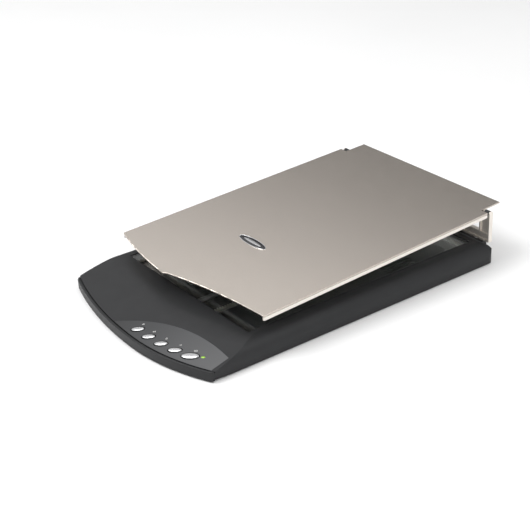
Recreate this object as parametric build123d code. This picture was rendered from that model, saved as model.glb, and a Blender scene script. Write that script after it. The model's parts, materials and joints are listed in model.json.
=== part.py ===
from build123d import *
from math import atan, cos, pi, radians, sin, sqrt
import os

# Flatbed scanner with a raised lid, in millimetres. X runs to the right as seen from the
# front, Y to the rear and Z up. The origin is under the middle of the whole object.

# ---- Case: plan and profile -------------------------------------------------------------
BASE_W = 256.0              # width over the lower walls
REAR = 189.6                # rear wall of the case
APEX_X = 22.0               # foremost point of the bowed front
APEX_Y = REAR - 398.5
FRONT_R_RIGHT = 245.0       # bow to the right of the apex
FRONT_R_LEFT = 480.0        # flatter bow to its left
FRONT_LEFT_CORNER_R = 12.0
REAR_CORNER_R = 8.0
CASE_BOTTOM = 1.2
PARTING_Z = 6.0             # joint line between lower and upper case
DECK_Z = 25.0               # flat deck round the glass
SHOULDER_Z = 8.0            # where the wall starts to round over
SHOULDER_W = 14.0           # width of the rounded shoulder at the sides
REAR_SHOULDER_W = 15.0
WALL = 2.4
FLOOR = 1.7
RIDGE_W = 3.0               # lip along the bowed front
RIDGE_Z = 11.2
SLOPE_FOOT_Z = 10.6         # front slope, just inside the lip
SLOPE_RUN = 47.0            # plan depth of the front slope
SLOPE = atan((DECK_Z - SLOPE_FOOT_Z) / SLOPE_RUN)
GROOVE_W = 0.9
NOTCH_BEHIND = 3.0          # cut under the right wall, behind the front lip
CORNER_NOTCH_H = 1.5
CORNER_NOTCH_L = 18.0
RIGHT_CENTRE_Y = APEX_Y + FRONT_R_RIGHT
LEFT_CENTRE_Y = APEX_Y + FRONT_R_LEFT

# ---- Platen -----------------------------------------------------------------------------
WINDOW_W = 217.0
WINDOW_L = 298.0
WINDOW_REAR = REAR - 20.0
GLASS_T = 2.8
GLASS_TOP = DECK_Z - 0.4
GLASS_RIM = 3.0             # glass hidden under the bezel on each side
GLASS_GAP = 0.15

# ---- Control panel ----------------------------------------------------------------------
PANEL_T = 2.0
PANEL_GAP = 0.15
PANEL_ARC_R = 224.0         # rear edge of the panel
PANEL_ARC_X = 112.0
PANEL_ARC_TOP = REAR - 351.2
BUTTON_RADIUS = FRONT_R_RIGHT - 13.0
BUTTON_FIRST_DEG = -1.4
BUTTON_STEP_DEG = 4.8
BUTTON_LEAN_DEG = 38.0      # long axis of each oval, from +X
SMALL_BUTTON = (14.6, 6.2)
LARGE_BUTTON = (18.6, 7.6)
BUTTON_GAP = 0.75
BUTTON_FLANGE = 1.2         # how far the hidden flange reaches past the cap
LAMP_ANGLE_DEG = BUTTON_FIRST_DEG + 4 * BUTTON_STEP_DEG + 3.2
LAMP_RADIUS = FRONT_R_RIGHT - 16.0
LAMP_SIZE = (4.6, 2.6)
LAMP_COLLAR = (6.4, 4.4)
LAMP_REACH = (-6.8, 0.15)   # light pipe, from its foot to just above the panel
LAMP_COLLAR_REACH = (-5.6, -4.8)
PANEL_BOARD_Z = 5.0
PANEL_BOARD_T = 1.2

# ---- Hinge ------------------------------------------------------------------------------
SHAFT_Y = REAR - 3.5
SHAFT_Z = 28.0
SHAFT_R = 1.5
SHAFT_HALF = 84.0
LINK_LENGTH = 30.3          # from the case pivot to the lid pivot
LID_PIVOT_Z = SHAFT_Z + LINK_LENGTH
FRAME_W = 248.0
FRAME_T = 5.2
CROSSBAR_DROP = 3.6         # crossbar reaches this far below the shaft
CROSSBAR_H = 10.0
ARM_W = 9.1                 # full-thickness part of each arm
ARM_REBATE_W = 5.9          # thinner inner part, which slips under the lid sheet
ARM_REBATE_T = 3.4
ARM_EYE_R = 1.6             # round end of the thin part, just under the cover's edge
CHANNEL_LIP = 1.6
CHANNEL_DEPTH = 1.8
CHANNEL_TOP_DEPTH = 1.2     # shallower in front of the pivot
KNUCKLE_X = 70.0
KNUCKLE_W = 16.0
KNUCKLE_R = 2.8
KNUCKLE_NECK = 1.7          # half the depth of the post below each knuckle
RAIL_HALF = 116.0
RAIL_TOP = 23.2
LID_PIN_R = 0.9
SIDE_GAP = 0.3
RUN_FIT = 0.05              # radial clearance of every turning or sliding fit

# ---- Lid, drawn flat with its rear edge at y = 0 and its top at z = 0 ---------------------
LID_W = 248.0
LID_TILT_DEG = 2.89         # nose-down lean when the hinge frame is upright
LID_DEPTH = 6.0
LID_CORNER_R = 2.5          # front corners in plan
COVER_T = 1.2
COVER_EDGE = 1.6            # depth of the cover's turned-down edge
LID_PIVOT_AHEAD = 22.9
LID_PIVOT_BELOW = 3.4
NOTCH_W = 9.6
NOTCH_L = 28.5
UNDER_NOTCH_W = 15.6
FLANGE_T = 1.6
FLANGE_GAP = 0.8            # groove between the cover's edge and the flange
FLANGE_FRONT_Y = -322.0     # ahead of this only the side flanges go on
BUFFER = (-8.0, -1.8, 1.8)   # rubber buffers in the flange: front end, rear end, height
PLATE_BELOW = 2.4           # underside of the lid's stiffening plate
BRACKET_T = 3.0             # blocks under the plate that hold the pivot pins
BRACKET_Y = (-29.0, -16.0)
BRACKET_BOTTOM = -5.6
PAD_BOARD_T = 1.0
PAD_HALF_W = 110.5
PAD_NECK_HALF_W = 102.0     # between the pivot brackets
PAD_REAR = 5.0
PAD_FRONT = 311.0
PAD_PROUD = 0.25            # how far the pad stands below the flange
BADGE_X = -4.5
BADGE_AHEAD = 248.7
BADGE_SIZE = (45.0, 12.0)

# ---- Scan carriage ----------------------------------------------------------------------
HOME_AHEAD = 28.0           # head centre ahead of the rear wall, at rest
HEAD_Y = REAR - HOME_AHEAD
HEAD_W = 219.0
HEAD_D = 18.0
HEAD_BOTTOM = 11.4
HEAD_TOP = 21.2
LIGHT_GUIDE_R = 1.4
LIGHT_GUIDE_AHEAD = 4.2
LIGHT_GUIDE_BELOW = 3.2
ROD_X = 0.0
ROD_Z = 7.0
ROD_R = 2.5
ROD_REAR = REAR - 9.0
ROD_FRONT = REAR - 366.0
BEARING_R = 3.7
PLATE_Z = 8.5
PLATE_T = 1.2
RACK_MODULE = 1.0
RACK_TEETH = 96
RACK_PITCH_X = 24.0
RACK_TOP = 5.9
SMALL_GEAR_TEETH = 12
BIG_GEAR_TEETH = 30
PINION_TEETH = 12
WHEEL_MODULE = 0.8
GEAR_X = RACK_PITCH_X - RACK_MODULE * SMALL_GEAR_TEETH / 2
GEAR_AHEAD = 14.0           # reduction gear ahead of the head's centre
MESH = WHEEL_MODULE * (BIG_GEAR_TEETH + PINION_TEETH) / 2
MOTOR_R = 11.5
MOTOR_H = 7.2
GEAR_Y = HEAD_Y - GEAR_AHEAD
MOTOR_Y = GEAR_Y - MESH
PIN_R = 1.0
CABLE_X = -38.0
CABLE_W = 12.0

# ---- Boards and sockets -------------------------------------------------------------------
FLOOR_Z = CASE_BOTTOM + FLOOR
MAIN_BOARD = (-112.0, -30.0, REAR - 48.0, REAR - 5.0)
BOARD_Z = 3.6
BOARD_T = 1.6
USB_X = -52.0
USB_W = 12.0
USB_H = 10.4
JACK_X = -82.0
JACK_W = 9.0
JACK_H = 9.0
SOCKET_FACE = REAR - 3.2
SOCKET_DEPTH = 12.8
SOCKET_Z = BOARD_Z + BOARD_T
SOCKET_GAP = 0.3
PORT_X = (-91.0, -42.0)      # insert in the rear wall round both sockets
PORT_Z = (4.0, 17.5)
PORT_FIT = 0.1
SCREW_SPOTS = [(119.0, REAR - 40.0), (-119.0, REAR - 40.0), (119.0, REAR - 200.0),
               (-119.0, REAR - 200.0), (112.0, REAR - 340.0), (-112.0, REAR - 340.0)]
FOOT_SPOTS = [(104.0, REAR - 22.0), (-104.0, REAR - 22.0),
              (100.0, REAR - 352.0), (-100.0, REAR - 352.0)]
FOOT_R = 8.0
LOCK_X = -90.0
LOCK_Y = REAR - 120.0
LOCK_TRAVEL = 5.0


def save(name, shape):
    export_step(shape, "parts/" + name + ".step")


def block(x0, x1, y0, y1, z0, z1):
    return Pos((x0 + x1) / 2, (y0 + y1) / 2, (z0 + z1) / 2) * Box(x1 - x0, y1 - y0, z1 - z0)


def rod_x(radius, x0, x1, y, z):
    return Pos((x0 + x1) / 2, y, z) * Rot(0, 90, 0) * Cylinder(radius, x1 - x0)


def rod_y(radius, y0, y1, x, z):
    return Pos(x, (y0 + y1) / 2, z) * Rot(90, 0, 0) * Cylinder(radius, y1 - y0)


def rod_z(radius, z0, z1, x, y):
    return Pos(x, y, (z0 + z1) / 2) * Cylinder(radius, z1 - z0)


def prism(face, z0, z1):
    return Pos(0, 0, z0) * extrude(face, z1 - z0, dir=(0, 0, 1))


def both_sides(shape):
    return [shape, mirror(shape, about=Plane.YZ)]


# ---- Case -------------------------------------------------------------------------------
def front_y(x, inset=0.0):
    """Front edge of the case at x."""
    if x > APEX_X:
        return RIGHT_CENTRE_Y - sqrt((FRONT_R_RIGHT - inset) ** 2 - (x - APEX_X) ** 2)
    return LEFT_CENTRE_Y - sqrt((FRONT_R_LEFT - inset) ** 2 - (x - APEX_X) ** 2)


def case_outline(inset=0.0):
    half = BASE_W / 2 - inset
    rear = REAR - inset
    right = (half, front_y(half, inset))
    left = (-half, front_y(-half, inset))
    apex = (APEX_X, APEX_Y + inset)
    right_mid_x = (half + APEX_X) / 2
    left_mid_x = (APEX_X - half) / 2
    wire = Wire([
        Line((-half, rear), (half, rear)),
        Line((half, rear), right),
        ThreePointArc(right, (right_mid_x, front_y(right_mid_x, inset)), apex),
        ThreePointArc(apex, (left_mid_x, front_y(left_mid_x, inset)), left),
        Line(left, (-half, rear)),
    ])
    face = Face(wire)
    rear_corners = [v for v in face.vertices() if v.Y > rear - 1]
    face = face.fillet_2d(REAR_CORNER_R - inset, rear_corners)
    front_left = [v for v in face.vertices() if v.X < -half + 0.5 and v.Y < 0]
    return face.fillet_2d(FRONT_LEFT_CORNER_R - inset, front_left)


def side_profile(inset):
    """Cross-section of the case, looking along Y."""
    half = BASE_W / 2 - inset
    top = DECK_Z - inset
    flat = BASE_W / 2 - SHOULDER_W
    rx = SHOULDER_W - inset
    rz = DECK_Z - SHOULDER_Z - inset
    return Plane.XZ * Face(Wire([
        Line((-half, -1), (-half, SHOULDER_Z)),
        EllipticalCenterArc((-flat, SHOULDER_Z), rx, rz, start_angle=90, arc_size=90),
        Line((-flat, top), (flat, top)),
        EllipticalCenterArc((flat, SHOULDER_Z), rx, rz, start_angle=0, arc_size=90),
        Line((half, SHOULDER_Z), (half, -1)),
        Line((half, -1), (-half, -1)),
    ]))


def rear_profile(inset):
    """Cross-section of the case, looking along X, with the rounded rear shoulder."""
    rear = REAR - inset
    top = DECK_Z - inset
    flat = REAR - REAR_SHOULDER_W
    front = APEX_Y - 10
    return Plane.YZ * Face(Wire([
        Line((rear, -1), (rear, SHOULDER_Z)),
        EllipticalCenterArc((flat, SHOULDER_Z), REAR_SHOULDER_W - inset,
                            DECK_Z - SHOULDER_Z - inset, start_angle=0, arc_size=90),
        Line((flat, top), (front, top)),
        Line((front, top), (front, -1)),
        Line((front, -1), (rear, -1)),
    ]))


def around_front(section, turn_right=40.0, turn_left=25.0):
    """Carry section(radius) round both arcs of the bowed front and return the two solids."""
    solids = []
    for radius, centre_y, turn in ((FRONT_R_RIGHT, RIGHT_CENTRE_Y, turn_right),
                                   (FRONT_R_LEFT, LEFT_CENTRE_Y, -turn_left)):
        plane = Plane(origin=(APEX_X, centre_y, 0), x_dir=(0, -1, 0), z_dir=(-1, 0, 0))
        axis = Axis((APEX_X, centre_y, 0), (0, 0, 1))
        solids.append(revolve(plane * section(radius), axis, turn))
    return solids


def slope_cut(inset):
    """Everything above the front slope."""
    def section(radius):
        foot = radius - RIDGE_W
        head = foot - SLOPE_RUN
        low = SLOPE_FOOT_Z - inset
        high = DECK_Z - inset
        face = Face(Wire.make_polygon([
            (head - 25, high), (head, high), (foot, low), (radius + 15, low),
            (radius + 15, 40), (head - 25, 40)]))
        knee = [v for v in face.vertices() if abs(v.X - head) < 0.01]
        return face.fillet_2d(60.0, knee)
    return around_front(section)


def case_solid(inset):
    body = prism(case_outline(inset), 0, DECK_Z)
    body &= extrude(side_profile(inset), 300, both=True)
    body &= extrude(rear_profile(inset), 200, both=True)
    for cutter in slope_cut(inset):
        body -= cutter
    return body


def front_lip():
    """The lip that stands along the bowed front, with its rounded crest."""
    band = case_outline(0.0) - case_outline(RIDGE_W)
    lip = prism(band, PARTING_Z, RIDGE_Z)
    lip &= block(-200, 200, APEX_Y - 5, front_y(BASE_W / 2) + 3, 0, 30)
    crest = [e for e in lip.edges().group_by(Axis.Z)[-1] if e.length > 10]
    return fillet(crest, 1.0)


def lip_groove():
    """The fine channel between the lip and the slope."""
    def section(radius):
        outer = radius - RIDGE_W
        return Face(Wire.make_polygon([
            (outer - GROOVE_W, RIDGE_Z - 1.8), (outer, RIDGE_Z - 1.8),
            (outer, 14), (outer - GROOVE_W, 14)]))
    return around_front(section)


def window_block(grow, z0, z1):
    return block(-WINDOW_W / 2 - grow, WINDOW_W / 2 + grow,
                 WINDOW_REAR - WINDOW_L - grow, WINDOW_REAR + grow, z0, z1)


def panel_region(grow):
    """Lens-shaped area of the control panel, as a tall block."""
    arc_r = PANEL_ARC_R + grow
    disc = rod_z(arc_r, 0, 30, PANEL_ARC_X, PANEL_ARC_TOP - PANEL_ARC_R)
    inside = prism(case_outline(RIDGE_W + GROOVE_W + 0.4 - grow), 0, 30)
    right_limit = block(-18 - grow, BASE_W / 2 - 1.6 + grow, APEX_Y - 20, 0, 0, 30)
    return disc & inside & right_limit


def button_spot(index):
    """Place, on the panel's surface, of button number index, counted from the left."""
    return panel_spot(BUTTON_FIRST_DEG + index * BUTTON_STEP_DEG, BUTTON_RADIUS)


def panel_spot(angle_deg, radius):
    angle = radians(angle_deg)
    out = (sin(angle), -cos(angle))
    z = SLOPE_FOOT_Z + (FRONT_R_RIGHT - RIDGE_W - radius) * (DECK_Z - SLOPE_FOOT_Z) / SLOPE_RUN
    origin = (APEX_X + radius * out[0], RIGHT_CENTRE_Y + radius * out[1], z)
    normal = (sin(SLOPE) * out[0], sin(SLOPE) * out[1], cos(SLOPE))
    lean = radians(BUTTON_LEAN_DEG)
    return Plane(origin=origin, x_dir=(cos(lean), sin(lean), 0.0), z_dir=normal)


def button_size(index):
    return LARGE_BUTTON if index == 4 else SMALL_BUTTON


def oval(plane, size, z0, z1):
    """Upright oval block on a panel plane."""
    return extrude(plane.offset(z0) * Ellipse(size[0] / 2, size[1] / 2), z1 - z0)


def sockets_space(gap):
    """Room for both sockets, out through the rear wall."""
    usb = block(USB_X - USB_W / 2 - gap, USB_X + USB_W / 2 + gap, SOCKET_FACE - 3, REAR + 1,
                SOCKET_Z - gap, SOCKET_Z + USB_H + gap)
    jack = block(JACK_X - JACK_W / 2 - gap, JACK_X + JACK_W / 2 + gap, SOCKET_FACE - 3, REAR + 1,
                 SOCKET_Z - gap, SOCKET_Z + JACK_H + gap)
    return usb + jack


def port_region(grow):
    return block(PORT_X[0] - grow, PORT_X[1] + grow, REAR - 8, REAR + 1,
                 PORT_Z[0] - grow, PORT_Z[1] + grow)


def socket_plate():
    """Insert in the rear wall that frames both sockets, flush with the case."""
    wall = (case_solid(0.0) - case_solid(WALL)) & port_region(0.0)
    return keep_largest(wall - sockets_space(SOCKET_GAP))


def keep_largest(shape):
    return sorted(shape.solids(), key=lambda s: s.volume)[-1]


def upper_case():
    shell = case_solid(0.0) - case_solid(WALL)
    shell -= block(-200, 200, -300, 300, -2, PARTING_Z)
    shell += front_lip()
    for piece in lip_groove():
        shell -= piece
    rim = window_block(GLASS_RIM + 2.0, GLASS_TOP - GLASS_T - 1.2, DECK_Z - WALL)
    shell += rim - window_block(GLASS_RIM - 1.0, 0, 40)
    shell -= window_block(0.0, 10, 40)
    shell -= window_block(GLASS_RIM + GLASS_GAP, GLASS_TOP - GLASS_T, GLASS_TOP)
    shell -= panel_region(PANEL_GAP) - case_solid(PANEL_T)
    buttons_zone = panel_region(PANEL_GAP) - rod_z(FRONT_R_RIGHT - 24, 0, 30, APEX_X, RIGHT_CENTRE_Y)
    shell -= panel_region(-2.5) + buttons_zone
    inside = case_solid(WALL / 2)
    for x, y in SCREW_SPOTS:
        post = rod_z(3.0, PARTING_Z, DECK_Z, x, y) & inside
        shell += post - rod_z(1.3, 0, 16, x, y)
    for x, y in rail_screw_spots():
        shell -= rod_z(1.3, 10, 30, x, y)
    shell -= port_region(PORT_FIT)
    return keep_largest(shell)


def lower_case():
    tray = prism(case_outline(0.0), CASE_BOTTOM, PARTING_Z)
    tray -= prism(case_outline(WALL), FLOOR_Z, 20)
    for x, y in SCREW_SPOTS:
        tray += rod_z(3.0, CASE_BOTTOM, PARTING_Z, x, y)
        tray -= rod_z(1.3, 0, 20, x, y) + rod_z(2.7, 0, 3.1, x, y)
    for x, y in FOOT_SPOTS:
        tray -= rod_z(FOOT_R + 0.1, 0, CASE_BOTTOM + 0.4, x, y)
    for y in (ROD_REAR, ROD_FRONT + 5.0):
        tray += block(ROD_X - 5, ROD_X + 5, y - 5, y, FLOOR_Z - 0.2, ROD_Z + ROD_R + 1.5)
    tray -= rod_y(ROD_R, ROD_FRONT, ROD_REAR, ROD_X, ROD_Z)
    for x, y in board_posts():
        tray += rod_z(2.0, FLOOR_Z - 0.2, BOARD_Z, x, y)
    for x, y in panel_posts():
        tray += rod_z(1.8, FLOOR_Z - 0.2, PANEL_BOARD_Z, x, y)
    tray -= block(LOCK_X - 6.0, LOCK_X + 6.0 + LOCK_TRAVEL, LOCK_Y - 4.0, LOCK_Y + 4.0, 0, 4)
    tray -= port_region(PORT_FIT)
    tray -= corner_notch()
    for index in range(9):
        x = 44.0 + 5.0 * index
        tray -= block(x, x + 2.2, REAR - 110, REAR - 70, 0, 4)
    return tray


def corner_notch():
    """Shallow cut under the right side wall, just behind the front lip."""
    y = front_y(BASE_W / 2) + NOTCH_BEHIND
    wedge = Face(Wire.make_polygon([
        (y, 0), (y, CASE_BOTTOM + CORNER_NOTCH_H), (y + CORNER_NOTCH_L, CASE_BOTTOM),
        (y + CORNER_NOTCH_L, 0)]))
    return Pos(BASE_W / 2, 0, 0) * extrude(Plane.YZ * wedge, WALL, both=True)


def board_posts():
    x0, x1, y0, y1 = MAIN_BOARD
    return [(x, y) for x in (x0 + 5, x1 - 5) for y in (y0 + 5, y1 - 14)]


def panel_posts():
    spots = []
    for angle_deg in (-3.8, 8.2, 20.6):
        angle = radians(angle_deg)
        radius = FRONT_R_RIGHT - 21.0
        spots.append((APEX_X + radius * sin(angle), RIGHT_CENTRE_Y - radius * cos(angle)))
    return spots


def platen_glass():
    z0 = GLASS_TOP - GLASS_T
    return window_block(GLASS_RIM, z0, GLASS_TOP)


def calibration_strip():
    z1 = GLASS_TOP - GLASS_T
    return block(-WINDOW_W / 2, WINDOW_W / 2, WINDOW_REAR - 4.0, WINDOW_REAR, z1 - 0.15, z1)


def control_panel():
    panel = (case_solid(0.0) - case_solid(PANEL_T)) & panel_region(0.0)
    for index in range(5):
        size = button_size(index)
        hole = (size[0] + 2 * BUTTON_GAP, size[1] + 2 * BUTTON_GAP)
        panel -= oval(button_spot(index), hole, -5, 5)
    panel -= oval(lamp_spot(), LAMP_SIZE, -5, 5)
    return keep_largest(panel)


def lamp_spot():
    return panel_spot(LAMP_ANGLE_DEG, LAMP_RADIUS)


def button(index):
    """Oval cap with a crowned top, a flange that keeps it in the panel, and a stem."""
    spot = button_spot(index)
    size = button_size(index)
    cap = oval(spot, size, -2.3, 1.0)
    rim = cap.edges().filter_by(lambda e: spot.to_local_coords(e.center()).Z > 0.9)
    cap = chamfer(rim, 0.6, 1.0)
    grow = 2 * BUTTON_FLANGE
    cap += oval(spot, (size[0] + grow, size[1] + grow), -2.9, -2.3)
    cap += extrude(spot.offset(-4.0) * Circle(1.2), 1.2)
    return cap


def light_window():
    """Light pipe with a collar below the reach of the pressed start button."""
    spot = lamp_spot()
    return oval(spot, LAMP_SIZE, *LAMP_REACH) + oval(spot, LAMP_COLLAR, *LAMP_COLLAR_REACH)


def button_board():
    """Crescent circuit board that lies flat below the buttons."""
    outer = FRONT_R_RIGHT - 5.0
    inner = FRONT_R_RIGHT - 24.0
    ring = Circle(outer) - Circle(inner)
    ring = Pos(APEX_X, RIGHT_CENTRE_Y, PANEL_BOARD_Z) * extrude(ring, PANEL_BOARD_T)
    return ring & block(APEX_X - 18, 116, APEX_Y - 10, 0, 0, 30)


def tact_switches():
    switches = []
    z = PANEL_BOARD_Z + PANEL_BOARD_T
    for index in range(5):
        x, y, _ = button_spot(index).origin
        x -= 1.0 * sin(SLOPE) * sin(radians(BUTTON_FIRST_DEG + index * BUTTON_STEP_DEG))
        body = block(x - 2.6, x + 2.6, y - 2.6, y + 2.6, z, z + 1.8)
        switches.append(body + rod_z(1.4, z + 1.8, z + 2.5, x, y))
    return Compound(switches)


def rubber_feet():
    return Compound([rod_z(FOOT_R, 0, CASE_BOTTOM + 0.4, x, y) for x, y in FOOT_SPOTS])


def cross_head_screw(x, y, z, length, head_r, shank_r, up=1):
    """Pan-head screw with a cross recess; its head's outer face is at z."""
    head = rod_z(head_r, 0, 1.5, 0, 0)
    shank = rod_z(shank_r, 1.5, length, 0, 0)
    slot = block(-head_r * 0.6, head_r * 0.6, -0.35, 0.35, -0.1, 0.8)
    screw = head + shank - slot - Rot(0, 0, 90) * slot
    if up < 0:
        screw = Rot(180, 0, 0) * screw
    return Pos(x, y, z) * screw


def case_screws():
    return Compound([cross_head_screw(x, y, 1.55, 14.0, 2.6, 1.25) for x, y in SCREW_SPOTS])


def transport_lock():
    lock = block(LOCK_X - 5.0, LOCK_X + 5.0, LOCK_Y - 3.8, LOCK_Y + 3.8, 0.7, FLOOR_Z + 0.2)
    lock += block(LOCK_X - 7.5, LOCK_X + 8.5, LOCK_Y - 6.0, LOCK_Y + 6.0, FLOOR_Z + 0.2, FLOOR_Z + 1.2)
    for index in range(4):
        x = LOCK_X - 3.6 + 2.0 * index
        lock -= block(x, x + 1.0, LOCK_Y - 5, LOCK_Y + 5, 0.6, 1.2)
    return lock


# ---- Hinge ------------------------------------------------------------------------------
def hinge_rail():
    """Raised rail along the rear of the case, with the two knuckles that carry the shaft."""
    rail = block(-RAIL_HALF, RAIL_HALF, REAR - 11.0, REAR - 0.9, 10.0, RAIL_TOP) - case_solid(0.0)
    for x in (-KNUCKLE_X, KNUCKLE_X):
        rail += block(x - KNUCKLE_W / 2, x + KNUCKLE_W / 2, SHAFT_Y - KNUCKLE_NECK,
                      SHAFT_Y + KNUCKLE_NECK, RAIL_TOP - 1, SHAFT_Z)
        rail += rod_x(KNUCKLE_R, x - KNUCKLE_W / 2, x + KNUCKLE_W / 2, SHAFT_Y, SHAFT_Z)
    rail -= rod_x(SHAFT_R + RUN_FIT, -SHAFT_HALF - 5, SHAFT_HALF + 5, SHAFT_Y, SHAFT_Z)
    for x, y in rail_screw_spots():
        rail -= rod_z(2.3, RAIL_TOP - 1.7, RAIL_TOP + 1, x, y) + rod_z(1.3, 10, 40, x, y)
    return keep_largest(rail)


def rail_screw_spots():
    return [(x, REAR - 3.5) for x in (-104.0, -40.0, 40.0, 104.0)]


def hinge_screws():
    spots = rail_screw_spots()
    return Compound([cross_head_screw(x, y, RAIL_TOP - 0.2, 8.0, 2.2, 1.2, up=-1) for x, y in spots])


def hinge_shaft():
    return rod_x(SHAFT_R, -SHAFT_HALF, SHAFT_HALF, SHAFT_Y, SHAFT_Z)


def hinge_frame():
    """Upright U-shaped frame: a crossbar on the case shaft and an arm to each lid pivot."""
    half = FRAME_W / 2
    y0 = SHAFT_Y - FRAME_T / 2
    y1 = SHAFT_Y + FRAME_T / 2
    bar_z0 = SHAFT_Z - CROSSBAR_DROP
    bar_z1 = bar_z0 + CROSSBAR_H
    frame = block(-half, half, y0, y1, bar_z0, bar_z1)
    step_x = half - ARM_W
    inner_x = step_x - ARM_REBATE_W
    arm = block(step_x, half, y0, y1, bar_z0, LID_PIVOT_Z)
    arm += rod_x(FRAME_T / 2, step_x, half, SHAFT_Y, LID_PIVOT_Z)
    arm += block(inner_x, step_x, y0, y0 + ARM_REBATE_T, bar_z0, LID_PIVOT_Z)
    arm -= block(inner_x - 1, step_x, y0 - 1, y1 + 1, LID_PIVOT_Z, LID_PIVOT_Z + 5)
    arm += rod_x(ARM_EYE_R, inner_x, step_x, SHAFT_Y, LID_PIVOT_Z)
    arm -= block(inner_x + CHANNEL_LIP, half - CHANNEL_LIP, y0 - 1, y0 + CHANNEL_DEPTH,
                 bar_z0 + CHANNEL_LIP, LID_PIVOT_Z - 2)
    arm -= block(step_x, half - CHANNEL_LIP, y0 - 1, y0 + CHANNEL_TOP_DEPTH,
                 LID_PIVOT_Z - 2, LID_PIVOT_Z + 1)
    arm -= rod_x(LID_PIN_R + RUN_FIT, inner_x - 1, half - 1.4, SHAFT_Y, LID_PIVOT_Z)
    for piece in both_sides(arm):
        frame += piece
    channel_x0 = SHAFT_HALF + 2.0
    channel = block(channel_x0, half - CHANNEL_LIP, y0 - 1, y0 + CHANNEL_DEPTH,
                    bar_z0 + CHANNEL_LIP, bar_z1 - CHANNEL_LIP)
    for piece in both_sides(channel):
        frame -= piece
    frame -= rod_x(SHAFT_R + RUN_FIT, -SHAFT_HALF - 1, SHAFT_HALF + 1, SHAFT_Y, SHAFT_Z)
    for x in (-KNUCKLE_X, KNUCKLE_X):
        x0 = x - KNUCKLE_W / 2 - SIDE_GAP
        x1 = x + KNUCKLE_W / 2 + SIDE_GAP
        frame -= block(x0, x1, y0 - 1, y1 + 1, bar_z0 - 1, SHAFT_Z)
        frame -= rod_x(KNUCKLE_R + 0.4, x0, x1, SHAFT_Y, SHAFT_Z)
    return keep_largest(frame)


# ---- Lid --------------------------------------------------------------------------------
def place_lid(shape):
    """Move a piece drawn flat to its place on the upright hinge frame."""
    pivot = Pos(0, SHAFT_Y, LID_PIVOT_Z) * Rot(LID_TILT_DEG, 0, 0)
    return pivot * Pos(0, LID_PIVOT_AHEAD, LID_PIVOT_BELOW) * shape


def lid_outline(inset=0.0, notch_w=NOTCH_W):
    """Lid seen from above: bowed on the left, a small peak, then a shallow hollow curve."""
    half = LID_W / 2 - inset
    front_left = (-half, -335.0 + inset)
    front_right = (half, -329.5 + inset)
    peak = (-18.0, -352.4 + inset * 1.2)
    after_peak = (-13.0, -349.4 + inset)
    inner_x = LID_W / 2 - notch_w - inset
    notch_y = -NOTCH_L - inset
    wire = Wire([
        Line((-inner_x, -inset), (inner_x, -inset)),
        Line((inner_x, -inset), (inner_x, notch_y)),
        Line((inner_x, notch_y), (half, notch_y)),
        Line((half, notch_y), front_right),
        ThreePointArc(front_right, (55.0, -335.9 + inset), after_peak),
        Line(after_peak, peak),
        ThreePointArc(peak, (-72.0, -346.4 + inset), front_left),
        Line(front_left, (-half, notch_y)),
        Line((-half, notch_y), (-inner_x, notch_y)),
        Line((-inner_x, notch_y), (-inner_x, -inset)),
    ])
    face = Face(wire)
    corners = [v for v in face.vertices() if v.Y < FLANGE_FRONT_Y and abs(v.X) > LID_W / 2 - 20.0]
    return face.fillet_2d(LID_CORNER_R, corners)


def lid_cover():
    """Thin top sheet with its edge turned down all round."""
    cover = prism(lid_outline(), -COVER_EDGE, 0.0)
    crest = [e for e in cover.edges().group_by(Axis.Z)[-1] if e.length > 2.0]
    cover = fillet(crest, 0.5)
    cover -= prism(lid_outline(1.2), -5.0, -COVER_T)
    return place_lid(cover)


def lid_frame():
    """Under-frame: a stiffening plate inside the cover's edge and the flange below it."""
    plate = prism(lid_outline(1.3, UNDER_NOTCH_W), -PLATE_BELOW, -COVER_T)
    wide = lid_outline(0.3, UNDER_NOTCH_W) - lid_outline(0.3 + FLANGE_T, UNDER_NOTCH_W)
    flange = prism(wide, -LID_DEPTH, -COVER_EDGE - FLANGE_GAP)
    between = LID_W / 2 - 0.3 - FLANGE_T
    flange -= block(-between, between, -400, FLANGE_FRONT_Y, -10, 0)
    frame = plate + flange
    for piece in both_sides(buffer_region()):
        frame -= piece
    for bracket_x in (-1, 1):
        x = bracket_x * (LID_W / 2 - UNDER_NOTCH_W - 1.1)
        frame -= rod_x(LID_PIN_R, x - 6, x + 6, -LID_PIVOT_AHEAD, -LID_PIVOT_BELOW)
    return place_lid(keep_largest(frame))


def buffer_region():
    x1 = LID_W / 2 - UNDER_NOTCH_W - 0.3
    return block(x1 - FLANGE_T, x1, BUFFER[0], BUFFER[1], -LID_DEPTH, -LID_DEPTH + BUFFER[2])


def lid_buffers():
    return Compound([place_lid(piece) for piece in both_sides(buffer_region())])


def bracket_inner_x():
    return LID_W / 2 - UNDER_NOTCH_W - 0.3 - FLANGE_T


def pivot_brackets():
    x1 = bracket_inner_x()
    bracket = block(x1 - BRACKET_T, x1, BRACKET_Y[0], BRACKET_Y[1], BRACKET_BOTTOM, -PLATE_BELOW)
    bracket -= rod_x(LID_PIN_R, 90, 130, -LID_PIVOT_AHEAD, -LID_PIVOT_BELOW)
    return Compound([place_lid(piece) for piece in both_sides(bracket)])


def lid_pivot_pins():
    x0 = bracket_inner_x() - BRACKET_T
    pin = rod_x(LID_PIN_R, x0, LID_W / 2 - 1.6, -LID_PIVOT_AHEAD, -LID_PIVOT_BELOW)
    return Compound([place_lid(piece) for piece in both_sides(pin)])


def pad_layer(z0, z1):
    """Layer under the lid, narrower at the rear so that it passes between the brackets."""
    step_y = -NOTCH_L - 3.0
    wide = block(-PAD_HALF_W, PAD_HALF_W, -PAD_FRONT, step_y, z0, z1)
    neck = block(-PAD_NECK_HALF_W, PAD_NECK_HALF_W, step_y, -PAD_REAR, z0, z1)
    return place_lid(wide + neck)


def pad_board():
    return pad_layer(-PLATE_BELOW - PAD_BOARD_T, -PLATE_BELOW)


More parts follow.
